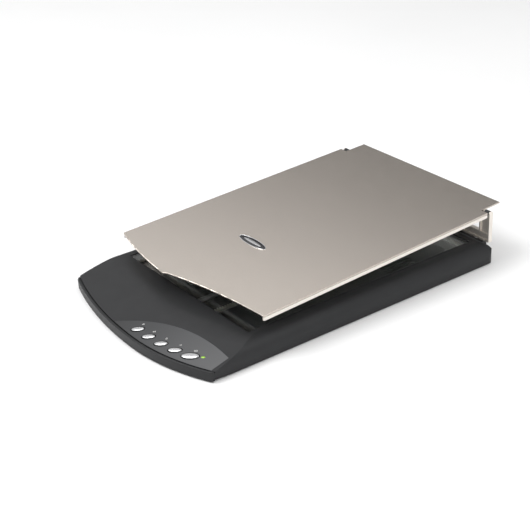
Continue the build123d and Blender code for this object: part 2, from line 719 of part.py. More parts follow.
def lid_pad():
    return pad_layer(-LID_DEPTH - PAD_PROUD, -PLATE_BELOW - PAD_BOARD_T)


def lid_badge():
    spot = Pos(BADGE_X, -BADGE_AHEAD, 0)
    plate = spot * extrude(Ellipse(BADGE_SIZE[0] / 2 - 1.3, BADGE_SIZE[1] / 2 - 1.3), 0.7)
    return place_lid(plate)


def badge_rim():
    spot = Pos(BADGE_X, -BADGE_AHEAD, 0)
    ring = Ellipse(BADGE_SIZE[0] / 2, BADGE_SIZE[1] / 2)
    ring -= Ellipse(BADGE_SIZE[0] / 2 - 1.3, BADGE_SIZE[1] / 2 - 1.3)
    return place_lid(spot * extrude(ring, 1.0))


# ---- Scan carriage ----------------------------------------------------------------------
def guide_rod():
    return rod_y(ROD_R, ROD_FRONT, ROD_REAR, ROD_X, ROD_Z)


def toothed_rack():
    pitch = pi * RACK_MODULE
    back = RACK_PITCH_X + 4.0
    root = RACK_PITCH_X + 1.3 * RACK_MODULE
    first = GEAR_Y + 2 * pitch
    points = [(back, first + pitch / 2), (root, first + pitch / 2)]
    for index in range(RACK_TEETH):
        y = first - index * pitch
        points += [(root, y + 0.27 * pitch), (RACK_PITCH_X - 0.85 * RACK_MODULE, y + 0.12 * pitch),
                   (RACK_PITCH_X - 0.85 * RACK_MODULE, y - 0.12 * pitch), (root, y - 0.27 * pitch)]
    last = first - (RACK_TEETH - 0.5) * pitch
    points += [(root, last), (back, last)]
    return prism(Face(Wire.make_polygon(points)), FLOOR_Z, RACK_TOP)


def gear_face(teeth, module, first_tooth_deg):
    pitch_angle = 2 * pi / teeth
    root = module * (teeth / 2 - 1.3)
    tip = module * (teeth / 2 + 0.85)
    points = []
    for index in range(teeth):
        middle = radians(first_tooth_deg) + index * pitch_angle
        for radius, offset in ((root, -0.27), (tip, -0.12), (tip, 0.12), (root, 0.27)):
            angle = middle + offset * pitch_angle
            points.append((radius * cos(angle), radius * sin(angle)))
    return Face(Wire.make_polygon(points))


def reduction_gear():
    small = prism(gear_face(SMALL_GEAR_TEETH, RACK_MODULE, 180.0 / SMALL_GEAR_TEETH), 3.3, 6.2)
    big = prism(gear_face(BIG_GEAR_TEETH, WHEEL_MODULE, -90.0), 6.2, 8.1)
    gear = small + big
    gear -= rod_z(PIN_R + RUN_FIT, 0, 20, 0, 0)
    for index in range(5):
        gear -= Rot(0, 0, 72 * index) * rod_z(1.8, 6.3, 20, 8.6, 0)
    return Pos(GEAR_X, GEAR_Y, 0) * gear


def gear_pin():
    return rod_z(PIN_R, 3.4, PLATE_Z + PLATE_T, GEAR_X, GEAR_Y)


def motor_pinion():
    face = gear_face(PINION_TEETH, WHEEL_MODULE, 90.0 + 180.0 / PINION_TEETH)
    pinion = prism(face, RACK_TOP + 0.2, 8.2) - rod_z(PIN_R, 0, 20, 0, 0)
    return Pos(GEAR_X, MOTOR_Y, 0) * pinion


def motor_shaft():
    return rod_z(PIN_R, 5.0, PLATE_Z + PLATE_T + MOTOR_H + 0.6, GEAR_X, MOTOR_Y)


def stepper_motor():
    z0 = PLATE_Z + PLATE_T
    motor = rod_z(MOTOR_R, z0, z0 + MOTOR_H, GEAR_X, MOTOR_Y)
    motor += block(GEAR_X - 15.5, GEAR_X + 15.5, MOTOR_Y - 3, MOTOR_Y + 3, z0, z0 + 1.0)
    motor -= rod_z(PIN_R + RUN_FIT, 0, 40, GEAR_X, MOTOR_Y)
    return motor


def carriage_frame():
    """Bearing tube on the guide rod, the plate for motor and gears, and the head's cradle."""
    y0 = MOTOR_Y - 14.0
    y1 = HEAD_Y + 8.0
    plate_z1 = PLATE_Z + PLATE_T
    frame = rod_y(BEARING_R, y0, y1, ROD_X, ROD_Z)
    frame += block(-20, GEAR_X + 18, y0, y1, PLATE_Z, plate_z1)
    frame += block(-28, 60, HEAD_Y - 8.0, y1, plate_z1 - 0.2, plate_z1 + 0.7)
    frame -= rod_y(ROD_R + RUN_FIT, y0 - 5, y1 + 5, ROD_X, ROD_Z)
    frame -= rod_z(PIN_R + 1.4, 0, 20, GEAR_X, MOTOR_Y)
    frame -= rod_z(PIN_R, 0, 20, GEAR_X, GEAR_Y)
    return frame


def lift_springs():
    """Two bowed leaf springs that press the head to the glass."""
    z0 = PLATE_Z + PLATE_T + 0.7
    z1 = HEAD_BOTTOM
    springs = []
    for x in (-18.0, 44.0):
        profile = Wire.make_polygon([
            (x - 8, z0), (x - 4, z0), (x, z1 - 0.2), (x + 4, z0), (x + 8, z0),
            (x + 8, z0 + 0.2), (x + 4.1, z0 + 0.2), (x, z1), (x - 4.1, z0 + 0.2), (x - 8, z0 + 0.2)])
        strip = extrude(Plane.XZ * Face(profile), 2.5, both=True)
        springs.append(Pos(0, HEAD_Y, 0) * strip)
    return Compound(springs)


def head_housing():
    half = HEAD_W / 2
    housing = block(-half, half, HEAD_Y - HEAD_D / 2, HEAD_Y + HEAD_D / 2, HEAD_BOTTOM, HEAD_TOP)
    housing -= block(-half + 1.8, half - 1.8, HEAD_Y - 7.4, HEAD_Y + 7.4, HEAD_BOTTOM + 1.4, 30)
    return housing


def head_layer(half_w, y0, y1, z0, z1):
    return block(-half_w, half_w, HEAD_Y + y0, HEAD_Y + y1, z0, z1)


def slide_pads():
    half = HEAD_W / 2
    y0 = HEAD_Y - HEAD_D / 2
    pads = []
    for x0 in (-half, half - 1.8):
        pads.append(block(x0, x0 + 1.8, y0 + 2, y0 + HEAD_D - 2, HEAD_TOP, HEAD_TOP + 0.35))
    return Compound(pads)


def sensor_board():
    return head_layer(HEAD_W / 2 - 3, -6.0, 6.0, HEAD_BOTTOM + 1.6, HEAD_BOTTOM + 2.6)


def rod_lens_bar():
    return head_layer(HEAD_W / 2 - 3, -1.0, 1.6, HEAD_BOTTOM + 2.9, HEAD_TOP - 1.4)


def light_guide():
    half = HEAD_W / 2 - 3.0
    return rod_x(LIGHT_GUIDE_R, -half, half, HEAD_Y - LIGHT_GUIDE_AHEAD, HEAD_TOP - LIGHT_GUIDE_BELOW)


def head_window():
    return head_layer(HEAD_W / 2 - 2.0, -7.2, 7.2, HEAD_TOP - 1.2, HEAD_TOP - 0.2)


def flat_cable():
    """Flat ribbon: along the floor from the main board, back over itself, up to the head."""
    lower_z = FLOOR_Z + 0.25
    upper_z = 8.0
    turn_r = (upper_z - lower_z) / 2
    turn_y = REAR - 175.0
    rise_y = HEAD_Y + 2.0
    bend = 2.0
    path = Curve() + [
        Line((MAIN_BOARD[2] - 1.0, lower_z), (turn_y, lower_z)),
        ThreePointArc((turn_y, lower_z), (turn_y - turn_r, lower_z + turn_r), (turn_y, upper_z)),
        Line((turn_y, upper_z), (rise_y - bend, upper_z)),
        ThreePointArc((rise_y - bend, upper_z),
                      (rise_y - bend * (1 - sqrt(0.5)), upper_z + bend * (1 - sqrt(0.5))),
                      (rise_y, upper_z + bend)),
        Line((rise_y, upper_z + bend), (rise_y, HEAD_BOTTOM - 0.25)),
    ]
    ribbon = extrude(Plane.YZ * trace(path, 0.25), CABLE_W / 2, both=True)
    return Pos(CABLE_X, 0, 0) * keep_largest(ribbon)


# ---- Boards and sockets -------------------------------------------------------------------
def main_board():
    x0, x1, y0, y1 = MAIN_BOARD
    return block(x0, x1, y0, y1, BOARD_Z, BOARD_Z + BOARD_T)


def board_parts():
    z = SOCKET_Z
    parts = [block(-84, -70, REAR - 42, REAR - 28, z, z + 1.4),
             block(-105, -97, REAR - 44, REAR - 34, z, z + 1.2),
             block(CABLE_X - 6.5, CABLE_X + 6.5, REAR - 47, REAR - 42, z, z + 2.0)]
    for index in range(3):
        parts.append(rod_z(2.5, z, z + 5.4, -106 + 7 * index, REAR - 25))
    for index in range(6):
        x = -66.0 + 3.0 * index
        parts.append(block(x, x + 1.2, REAR - 40, REAR - 38, z, z + 0.8))
    return Compound(parts)


def usb_socket():
    """Square socket with a tongue set back behind its mouth."""
    x0 = USB_X - USB_W / 2
    x1 = USB_X + USB_W / 2
    y0 = SOCKET_FACE - SOCKET_DEPTH
    z1 = SOCKET_Z + USB_H
    socket = block(x0, x1, y0, SOCKET_FACE, SOCKET_Z, z1)
    socket -= block(x0 + 1.5, x1 - 1.5, y0 + 2, SOCKET_FACE + 1, SOCKET_Z + 1.2, z1 - 1.2)
    middle = (SOCKET_Z + z1) / 2
    return socket + block(USB_X - 2.8, USB_X + 2.8, y0 + 1.5, SOCKET_FACE - 5.0, middle - 1.5, middle + 1.5)


def power_jack():
    x0 = JACK_X - JACK_W / 2
    y0 = SOCKET_FACE - SOCKET_DEPTH
    middle = SOCKET_Z + JACK_H / 2
    jack = block(x0, x0 + JACK_W, y0, SOCKET_FACE, SOCKET_Z, SOCKET_Z + JACK_H)
    jack -= rod_y(3.2, y0 + 2, SOCKET_FACE + 1, JACK_X, middle)
    return jack + rod_y(1.0, y0 + 1.5, SOCKET_FACE - 5.0, JACK_X, middle)


def home_sensor():
    y = REAR - 24.0
    sensor = block(48, 56, y - 4, y + 4, FLOOR_Z, 8.0)
    return sensor - block(50.5, 53.5, y - 5, y + 5, 4.5, 9)


PIECES = [
    upper_case, lower_case, platen_glass, calibration_strip, control_panel, light_window,
    button_board, tact_switches, rubber_feet, case_screws, transport_lock, socket_plate,
    hinge_rail, hinge_screws, hinge_shaft, hinge_frame,
    lid_cover, lid_frame, pivot_brackets, lid_pivot_pins, pad_board, lid_pad,
    lid_buffers, lid_badge, badge_rim,
    guide_rod, toothed_rack, reduction_gear, gear_pin, motor_pinion, motor_shaft,
    stepper_motor, carriage_frame, lift_springs, head_housing, sensor_board, rod_lens_bar,
    light_guide, head_window, slide_pads, flat_cable,
    main_board, board_parts, usb_socket, power_jack, home_sensor,
]
BUTTON_NAMES = ["button_1", "button_2", "button_3", "button_4", "start_button"]


def main():
    os.makedirs("parts", exist_ok=True)
    for piece in PIECES:
        save(piece.__name__, piece())
    for index, name in enumerate(BUTTON_NAMES):
        save(name, button(index))


main()
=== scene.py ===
import json
from math import cos, pi, radians, sin, tau

import bmesh
import bpy
import numpy as np
from mathutils import Matrix, Vector


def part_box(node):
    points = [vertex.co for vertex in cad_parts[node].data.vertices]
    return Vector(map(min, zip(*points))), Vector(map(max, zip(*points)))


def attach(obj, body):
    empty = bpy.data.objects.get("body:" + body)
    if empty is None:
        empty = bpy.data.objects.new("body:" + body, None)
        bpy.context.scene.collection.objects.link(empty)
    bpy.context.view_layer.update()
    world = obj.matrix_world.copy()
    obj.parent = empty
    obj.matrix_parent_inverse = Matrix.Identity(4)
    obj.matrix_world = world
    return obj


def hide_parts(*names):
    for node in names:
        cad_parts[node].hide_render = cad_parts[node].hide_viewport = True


# Looks of a flatbed scanner with its lid raised. Metres, +Z up, +Y to the rear.

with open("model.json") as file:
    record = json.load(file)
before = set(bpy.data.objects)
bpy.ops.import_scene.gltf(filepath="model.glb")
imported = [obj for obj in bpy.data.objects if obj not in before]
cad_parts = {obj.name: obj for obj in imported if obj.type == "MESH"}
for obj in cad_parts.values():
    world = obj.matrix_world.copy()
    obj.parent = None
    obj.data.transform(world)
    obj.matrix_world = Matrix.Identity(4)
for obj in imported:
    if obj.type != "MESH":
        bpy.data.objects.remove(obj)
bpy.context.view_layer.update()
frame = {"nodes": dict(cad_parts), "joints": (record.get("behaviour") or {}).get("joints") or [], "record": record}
MM = 0.001


# ---- Node materials -----------------------------------------------------------------------
def new_material(name):
    mat = bpy.data.materials.new(name)
    mat.use_nodes = True
    return mat


def shader(mat):
    return mat.node_tree.nodes["Principled BSDF"]


def add(mat, kind, **values):
    """Add a shader node to a material or world and set its properties or inputs by name."""
    node = mat.node_tree.nodes.new(kind)
    for key, value in values.items():
        if hasattr(node, key):
            setattr(node, key, value)
        else:
            node.inputs[key.replace("_", " ")].default_value = value
    return node


def link(mat, output, target):
    mat.node_tree.links.new(output, target)


def place(mat, stretch=(1.0, 1.0, 1.0)):
    """Object coordinates in metres, scaled along each axis."""
    coords = add(mat, "ShaderNodeTexCoord")
    scale = add(mat, "ShaderNodeMapping")
    scale.inputs["Scale"].default_value = stretch
    link(mat, coords.outputs["Object"], scale.inputs["Vector"])
    return scale.outputs["Vector"]


def noise(mat, where, scale, detail=3.0):
    node = add(mat, "ShaderNodeTexNoise", Scale=scale, Detail=detail)
    link(mat, where, node.inputs["Vector"])
    return node.outputs["Fac"]


def ramp(mat, value, stops):
    """Colour ramp with stops of (position, colour)."""
    node = add(mat, "ShaderNodeValToRGB")
    while len(node.color_ramp.elements) < len(stops):
        node.color_ramp.elements.new(0.5)
    for element, (position, colour) in zip(node.color_ramp.elements, stops):
        element.position = position
        element.color = (*colour, 1.0)
    link(mat, value, node.inputs["Fac"])
    return node.outputs["Color"]


def shade(colour, factor):
    return tuple(min(1.0, c * factor) for c in colour)


def mottle(mat, where, colour, scale, spread):
    """Base colour that drifts a little between a darker and a lighter shade."""
    drift = ramp(mat, noise(mat, where, scale),
                 [(0.35, shade(colour, 1 - spread)), (0.65, shade(colour, 1 + spread))])
    link(mat, drift, shader(mat).inputs["Base Color"])


def rough(mat, where, scale, low, high):
    node = add(mat, "ShaderNodeMapRange", To_Min=low, To_Max=high)
    link(mat, noise(mat, where, scale), node.inputs["Value"])
    link(mat, node.outputs["Result"], shader(mat).inputs["Roughness"])


def bump(mat, height, depth, strength=1.0):
    node = add(mat, "ShaderNodeBump", Strength=strength, Distance=depth)
    link(mat, height, node.inputs["Height"])
    link(mat, node.outputs["Normal"], shader(mat).inputs["Normal"])


def moulded(name, colour, roughness, grain=2600.0, depth=0.00003, spread=0.06, gloss=0.5):
    """Moulded plastic: fine spark-eroded grain, slight drift of colour and gloss."""
    mat = new_material(name)
    shader(mat).inputs["Specular IOR Level"].default_value = gloss
    where = place(mat)
    mottle(mat, where, colour, 45.0, spread)
    rough(mat, where, 60.0, roughness - 0.04, roughness + 0.05)
    bump(mat, noise(mat, where, grain, 2.0), depth)
    return mat


def metal_paint(name, colour, roughness, metallic, flake=5200.0):
    """Metallic paint: bright flakes in a tinted base."""
    mat = new_material(name)
    where = place(mat)
    cells = add(mat, "ShaderNodeTexVoronoi", Scale=flake)
    link(mat, where, cells.inputs["Vector"])
    grey = add(mat, "ShaderNodeRGBToBW")
    link(mat, cells.outputs["Color"], grey.inputs["Color"])
    tint = ramp(mat, grey.outputs["Val"], [(0.2, shade(colour, 0.93)), (0.8, shade(colour, 1.06))])
    link(mat, tint, shader(mat).inputs["Base Color"])
    shader(mat).inputs["Metallic"].default_value = metallic
    rough(mat, where, 80.0, roughness - 0.03, roughness + 0.03)
    bump(mat, grey.outputs["Val"], 0.000006)
    return mat


def bare_metal(name, colour, roughness, stretch=(1.0, 1.0, 1.0), scale=900.0, depth=0.000008):
    """Metal with fine drawn lines along the axis whose stretch is smallest."""
    mat = new_material(name)
    where = place(mat, stretch)
    lines = noise(mat, where, scale, 4.0)
    drift = ramp(mat, lines, [(0.3, shade(colour, 0.88)), (0.7, shade(colour, 1.08))])
    link(mat, drift, shader(mat).inputs["Base Color"])
    shader(mat).inputs["Metallic"].default_value = 1.0
    rough(mat, where, scale, roughness - 0.06, roughness + 0.08)
    bump(mat, lines, depth)
    return mat


def panel_plastic():
    """The case's plastic at the panel's left tip, turning paler to the right as a painted reflection; a little
    glossier than the case.
    """
    mat = new_material("panel_plastic")
    where = place(mat)
    split = add(mat, "ShaderNodeSeparateXYZ")
    link(mat, where, split.inputs["Vector"])
    low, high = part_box("control_panel")
    reach = add(mat, "ShaderNodeMapRange", From_Min=low.x, From_Max=high.x)
    link(mat, split.outputs["X"], reach.inputs["Value"])
    # Painted reflection: the base colour runs from the case's charcoal at the left tip to paler shades at the
    # right end.
    tone = ramp(mat, reach.outputs["Result"],
                [(0.0, CHARCOAL), (0.45, PANEL_REFLECTION_MIDDLE), (1.0, PANEL_REFLECTION_RIGHT)])
    link(mat, tone, shader(mat).inputs["Base Color"])
    rough(mat, where, 70.0, 0.36, 0.42)
    bump(mat, noise(mat, where, 3000.0, 2.0), 0.00002)
    return mat


def clear(name, colour, roughness, ior=1.5):
    mat = new_material(name)
    where = place(mat)
    bsdf = shader(mat)
    bsdf.inputs["Base Color"].default_value = (*colour, 1.0)
    bsdf.inputs["Transmission Weight"].default_value = 1.0
    bsdf.inputs["IOR"].default_value = ior
    rough(mat, where, 12.0, roughness, roughness + 0.03)
    return mat


def glowing_window():
    """Translucent green light pipe, lit from below, glowing evenly."""
    mat = new_material("green_window")
    where = place(mat)
    mottle(mat, where, (0.22, 0.42, 0.04), 500.0, 0.2)
    bsdf = shader(mat)
    bsdf.inputs["Roughness"].default_value = 0.22
    bsdf.inputs["Emission Color"].default_value = (0.36, 0.60, 0.05, 1.0)
    bsdf.inputs["Emission Strength"].default_value = 0.3
    bump(mat, noise(mat, where, 900.0, 1.0), 0.00002)
    return mat


def foam():
    """White document foam: smooth skin with fine open cells."""
    mat = new_material("foam_pad")
    where = place(mat)
    mottle(mat, where, (0.80, 0.80, 0.78), 160.0, 0.012)
    rough(mat, where, 600.0, 0.84, 0.92)
    cells = add(mat, "ShaderNodeTexVoronoi", Scale=1500.0)
    link(mat, where, cells.inputs["Vector"])
    bump(mat, cells.outputs["Distance"], 0.00008, 0.7)
    shader(mat).inputs["Sheen Weight"].default_value = 0.15
    return mat


def circuit_board():
    """Green solder mask over a pattern of straight copper tracks."""
    mat = new_material("board_green")
    where = place(mat)
    tracks = add(mat, "ShaderNodeTexBrick", Scale=90.0, Mortar_Size=0.012, offset=0.37)
    tracks.inputs["Color1"].default_value = (0.01, 0.10, 0.04, 1.0)
    tracks.inputs["Color2"].default_value = (0.012, 0.125, 0.05, 1.0)
    tracks.inputs["Mortar"].default_value = (0.05, 0.24, 0.08, 1.0)
    link(mat, where, tracks.inputs["Vector"])
    link(mat, tracks.outputs["Color"], shader(mat).inputs["Base Color"])
    rough(mat, where, 200.0, 0.28, 0.4)
    bump(mat, tracks.outputs["Fac"], 0.00002, 0.5)
    return mat


def ribbon():
    """Flat cable: pale insulation with parallel conductors showing through."""
    mat = new_material("ribbon")
    where = place(mat)
    lines = add(mat, "ShaderNodeTexWave", Scale=320.0, Distortion=0.0)
    link(mat, where, lines.inputs["Vector"])
    tone = ramp(mat, lines.outputs["Fac"], [(0.35, (0.72, 0.74, 0.77)), (0.6, (0.33, 0.34, 0.36))])
    link(mat, tone, shader(mat).inputs["Base Color"])
    rough(mat, where, 90.0, 0.3, 0.4)
    bump(mat, lines.outputs["Fac"], 0.00003, 0.6)
    return mat


def lens_row():
    """Dark housing with a row of tiny rod lenses along its top."""
    mat = new_material("lens_dark")
    where = place(mat, (1.0, 0.4, 1.0))
    dots = add(mat, "ShaderNodeTexVoronoi", Scale=1500.0)
    link(mat, where, dots.inputs["Vector"])
    tone = ramp(mat, dots.outputs["Distance"],
                [(0.2, (0.10, 0.11, 0.13)), (0.5, (0.01, 0.01, 0.012))])
    link(mat, tone, shader(mat).inputs["Base Color"])
    rough(mat, where, 100.0, 0.12, 0.2)
    bump(mat, dots.outputs["Distance"], 0.00005, 0.5)
    return mat


CHARCOAL = (0.017, 0.0174, 0.0187)
# Paler shades of the panel: painted reflection, not the plastic's own colour.
PANEL_REFLECTION_MIDDLE = (0.043, 0.044, 0.047)
PANEL_REFLECTION_RIGHT = (0.086, 0.087, 0.090)
MATERIALS = {
    "charcoal_plastic": moulded("charcoal_plastic", CHARCOAL, 0.46, gloss=0.31),
    "panel_plastic": panel_plastic(),
    "black_plastic": moulded("black_plastic", (0.006, 0.006, 0.007), 0.5),
    "champagne_cover": metal_paint("champagne_cover", (0.59, 0.535, 0.482), 0.19, 0.95),
    # champagne_frame is paler and less metallic than champagne_cover: a painted reflection of the bright floor on
    # the frames' side faces.
    "champagne_frame": metal_paint("champagne_frame", (0.80, 0.75, 0.69), 0.30, 0.55),
    "silver_button": metal_paint("silver_button", (0.56, 0.56, 0.57), 0.26, 0.9, 8000.0),
    "green_window": glowing_window(),
    "clear_glass": clear("clear_glass", (0.93, 0.97, 0.95), 0.0, 1.52),
    "white_plastic": moulded("white_plastic", (0.78, 0.78, 0.76), 0.4),
    "foam_pad": foam(),
    "rubber": moulded("rubber", (0.02, 0.02, 0.021), 0.75, 1500.0, 0.00006, 0.15),
    "steel": bare_metal("steel", (0.52, 0.52, 0.53), 0.3, (0.15, 1.0, 1.0)),
    "zinc_screw": bare_metal("zinc_screw", (0.58, 0.59, 0.62), 0.32),
    "chrome": bare_metal("chrome", (0.88, 0.88, 0.89), 0.1, scale=300.0, depth=0.000002),
    "badge_black": moulded("badge_black", (0.008, 0.008, 0.01), 0.16, 500.0, 0.000004),
    "gear_nylon": moulded("gear_nylon", (0.70, 0.68, 0.60), 0.42),
    "board_green": circuit_board(),
    "component_black": moulded("component_black", (0.02, 0.02, 0.022), 0.5),
    "ribbon": ribbon(),
    "lens_dark": lens_row(),
    "light_bar": clear("light_bar", (0.92, 0.96, 0.97), 0.08),
}


def dress_cad_nodes():
    """Give every CAD node the node material of its slot."""
    for row in frame["record"]["subparts"]:
        for slot in frame["nodes"][row["node"]].material_slots:
            slot.material = MATERIALS[row["material_slot"]]


# ---- Mesh helpers --------------------------------------------------------------------------
def new_piece(name, verts, faces, slot, body, matrix=Matrix.Identity(4)):
    """Mesh piece in the frame, smooth shaded, with the finish of a record slot."""
    mesh = bpy.data.meshes.new(name)
    mesh.from_pydata([matrix @ Vector(v) for v in verts], [], faces)
    mesh.polygons.foreach_set("use_smooth", [True] * len(mesh.polygons))
    build = bmesh.new()
    build.from_mesh(mesh)
    bmesh.ops.recalc_face_normals(build, faces=build.faces)
    build.to_mesh(mesh)
    build.free()
    obj = bpy.data.objects.new(name, mesh)
    bpy.context.scene.collection.objects.link(obj)
    obj.data.materials.append(MATERIALS[slot])
    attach(obj, body)
    return obj


def bridged(levels, count):
    """Faces of a closed form made of stacked loops that have count vertices each."""
    faces = []
    for level in range(levels - 1):
        for index in range(count):
            a = level * count + index
            b = level * count + (index + 1) % count
            faces.append((a, b, b + count, a + count))
    top = (levels - 1) * count
    return faces + [tuple(reversed(range(count))), tuple(range(top, top + count))]


def stacked_rings(rings, steps, outline):
    """Vertices and faces of a closed form: rings are (share of outline, height), bottom first."""
    verts = []
    for share, height in rings:
        for index in range(steps):
            x, y = outline(tau * index / steps)
            verts.append((x * share, y * share, height))
    return verts, bridged(len(rings), steps)


def raised(profile, base):
    """Rings from a profile of (share of outline, height above base in millimetres)."""
    return [(share, base + height * MM) for share, height in profile]


def ellipse(a, b):
    return lambda t: (a * cos(t), b * sin(t))


CROWN_NARROWING = 0.75      # below 1, the crown keeps its width for longer
CROWN_RISE = 0.9


def dome_rings(z_foot, z_side, rise, count):
    """Straight wall from z_foot to z_side, then a crowned top that rises above it."""
    rings = [(1.0, z_foot), (1.0, z_side)]
    for step in range(1, count):
        turn = (pi / 2) * step / count
        rings.append((cos(turn) ** CROWN_NARROWING, z_side + rise * sin(turn) ** CROWN_RISE))
    return rings


def node_points(node):
    return np.array([v.co for v in frame["nodes"][node].data.vertices], float)


def local_points(node, matrix):
    inverse = np.array(matrix.inverted())
    return node_points(node) @ inverse[:3, :3].T + inverse[:3, 3]


def local_extent(node, matrix):
    """Lowest and highest corner of a node along the axes of matrix."""
    local = local_points(node, matrix)
    return local.min(0), local.max(0)


def local_frame(node, normal):
    """Matrix of a flat part on a slope: Z along normal, X along the part's long side."""
    points = node_points(node)
    normal = Vector(normal).normalized()
    centre = Vector((points.min(0) + points.max(0)) / 2)
    flat = points - np.array(centre)
    up = np.array(normal)
    flat = flat - np.outer(flat @ up, up)
    long_side = Vector(np.linalg.svd(flat, full_matrices=False)[2][0])
    side = normal.cross(long_side).normalized()
    matrix = Matrix((long_side, side, normal)).transposed().to_4x4()
    matrix.translation = centre
    low, high = local_extent(node, matrix)
    matrix.translation = matrix @ Vector((low + high) / 2)
    return matrix


def flat_frame(node, towards):
    """Matrix of a thin flat node: X along its long side, Z out of its face."""
    points = node_points(node)
    axes = np.linalg.svd(points - points.mean(0), full_matrices=False)[2]
    normal = Vector(axes[2])
    if normal.dot(Vector(towards)) < 0:
        normal.negate()
    return local_frame(node, normal)


# ---- Buttons and lamp ---------------------------------------------------------------------
BUTTON_FLANGE = 1.2 * MM
BUTTON_FLANGE_T = 0.6 * MM
BUTTON_CROWN = 0.55 * MM
STEM_R = 1.2 * MM
BUTTON_DEPTH = 3.9 * MM      # from the crown down to the flange
BASE_EDGE = 0.1 * MM         # eased edge of the dark base, which narrows to BASE_EASED
BASE_EASED = 0.98
# CAP_SHY widens the gap round each key, where the black base shows as painted shade.
CAP_SHY = 0.3 * MM           # how far the cap's side stands inside the CAD's
CAP_ROOT = 0.05 * MM         # how far the cap is sunk into its base
CAP_SHOULDER = 0.25 * MM     # side wall given up to the cap's rounded rim


def press_normal(button):
    """Direction out of the panel, opposite to the way a button is pressed."""
    axis = next(j["axis"] for j in frame["joints"] if j["name"] == button + "_press")
    return [-v for v in axis]


def dome_button(node):
    """Crowned oval key with a rounded rim, on a black base with a retaining flange; the black base showing in the
    gap round the key is painted shade.
    """
    matrix = local_frame(node, press_normal(node))
    low, high = local_extent(node, matrix)
    body = node + "_body"
    flange_a, flange_b = high[0], high[1]
    top = high[2]
    flange_z = top - BUTTON_DEPTH
    stem = STEM_R / flange_a
    base_top = flange_z + BUTTON_FLANGE_T
    rings = [(stem, low[2]), (stem, flange_z), (BASE_EASED, flange_z), (1.0, flange_z + BASE_EDGE),
             (1.0, base_top - BASE_EDGE), (BASE_EASED, base_top)]
    verts, faces = stacked_rings(rings, 72, ellipse(flange_a, flange_b))
    # Black base: painted shade for the gap round the key.
    base = new_piece(node + "_base", verts, faces, "black_plastic", body, matrix)
    a = flange_a - BUTTON_FLANGE - CAP_SHY
    b = flange_b - BUTTON_FLANGE - CAP_SHY
    shoulder = top - BUTTON_CROWN - CAP_SHOULDER
    rings = [(1.0, base_top - CAP_ROOT)]
    rings += dome_rings(base_top, shoulder, BUTTON_CROWN + CAP_SHOULDER, 12)[1:]
    verts, faces = stacked_rings(rings, 72, ellipse(a, b))
    cap = new_piece(node + "_cap", verts, faces, "silver_button", body, matrix)
    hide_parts(node)
    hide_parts(node)


LAMP_HALF = (2.3 * MM, 1.3 * MM)
LAMP_CROWN = 0.45 * MM


def lamp():
    """Crowned light pipe beside the start button."""
    matrix = local_frame("light_window", press_normal("start_button"))
    low, high = local_extent("light_window", matrix)
    a, b = LAMP_HALF
    foot, collar = low[2], high[0] / a
    rings = [(1.0, foot), (1.0, foot + 1.2 * MM), (collar, foot + 1.25 * MM),
             (collar, foot + 1.9 * MM), (1.0, foot + 2.0 * MM)]
    rings += dome_rings(foot + 2.1 * MM, high[2] - 0.5 * MM, LAMP_CROWN, 8)
    verts, faces = stacked_rings(rings, 48, ellipse(a, b))
    piece = new_piece("lamp_lens", verts, faces, "green_window", "case", matrix)
    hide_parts("light_window")


# ---- Marks on the panel and the slope ------------------------------------------------------
MARK_T = 0.04 * MM
LABEL_BEHIND = 6.9 * MM
LABEL_SIDE = -1.0 * MM
RAY_START = 0.2              # higher than every CAD node


def bar(x, y, length, width, turn=0.0):
    """Corners of a thin bar, centred at x, y, in millimetres."""
    c, s = cos(turn), sin(turn)
    corners = ((-0.5, -0.5), (0.5, -0.5), (0.5, 0.5), (-0.5, 0.5))
    return [(x + u * length * c - v * width * s, y + u * length * s + v * width * c)
            for u, v in corners]


def frame_of_bars(x, y, length, width, line):
    """Outline of a rectangle as four bars."""
    side = width - 1.4 * line    # short of the long bars, so that no edges touch
    return [bar(x, y - width / 2, length + line, line), bar(x, y + width / 2, length + line, line),
            bar(x - length / 2, y, line, side), bar(x + length / 2, y, line, side)]


def printed(name, shapes, matrix):
    """Ink-thin flat shapes, given in millimetres, that lie on the case."""
    verts, faces = [], []
    for shape in shapes:
        first = len(verts)
        count = len(shape)
        for height in (-MARK_T, MARK_T):
            verts += [(x * MM, y * MM, height) for x, y in shape]
        faces.append(tuple(range(first + count, first + 2 * count)))
        faces.append(tuple(reversed(range(first, first + count))))
        for index in range(count):
            after = (index + 1) % count
            faces.append((first + index, first + after,
                          first + count + after, first + count + index))
    piece = new_piece(name, verts, faces, "white_plastic", "case", matrix)
    piece.data.polygons.foreach_set("use_smooth", [False] * len(piece.data.polygons))
    return piece


PICTOGRAMS = {
    "button_1": (frame_of_bars(-0.5, -0.1, 1.5, 1.0, 0.22)
                 + frame_of_bars(0.3, 0.4, 1.5, 1.0, 0.22)),
    "button_2": (frame_of_bars(0, 0, 2.6, 1.4, 0.22)
                 + [bar(-0.6, 0.3, 1.4, 0.2, -0.5), bar(0.6, 0.3, 1.4, 0.2, 0.5)]),
    "button_3": (frame_of_bars(0, 0, 1.5, 1.7, 0.22)
                 + [bar(0, 0.3, 0.8, 0.2), bar(0, -0.3, 0.8, 0.2)]),
    "button_4": [bar(-0.3, 0, 2.2, 0.25), bar(0.7, 0.35, 1.0, 0.25, -0.75),
                 bar(0.7, -0.35, 1.0, 0.25, 0.75)],
    "start_button": frame_of_bars(0, 0, 3.0, 1.6, 0.22) + [bar(0, 0, 3.6, 0.25)],
}


def on_surface(node, x, y, along):
    """Matrix on a CAD node's upper surface at x, y, with its X axis turned to follow along."""
    above = Vector((x, y, RAY_START))
    _, where, normal, _ = frame["nodes"][node].ray_cast(above, Vector((0, 0, -1)))
    side = normal.cross(Vector(along)).normalized()
    matrix = Matrix((side.cross(normal), side, normal)).transposed().to_4x4()
    matrix.translation = where
    return matrix


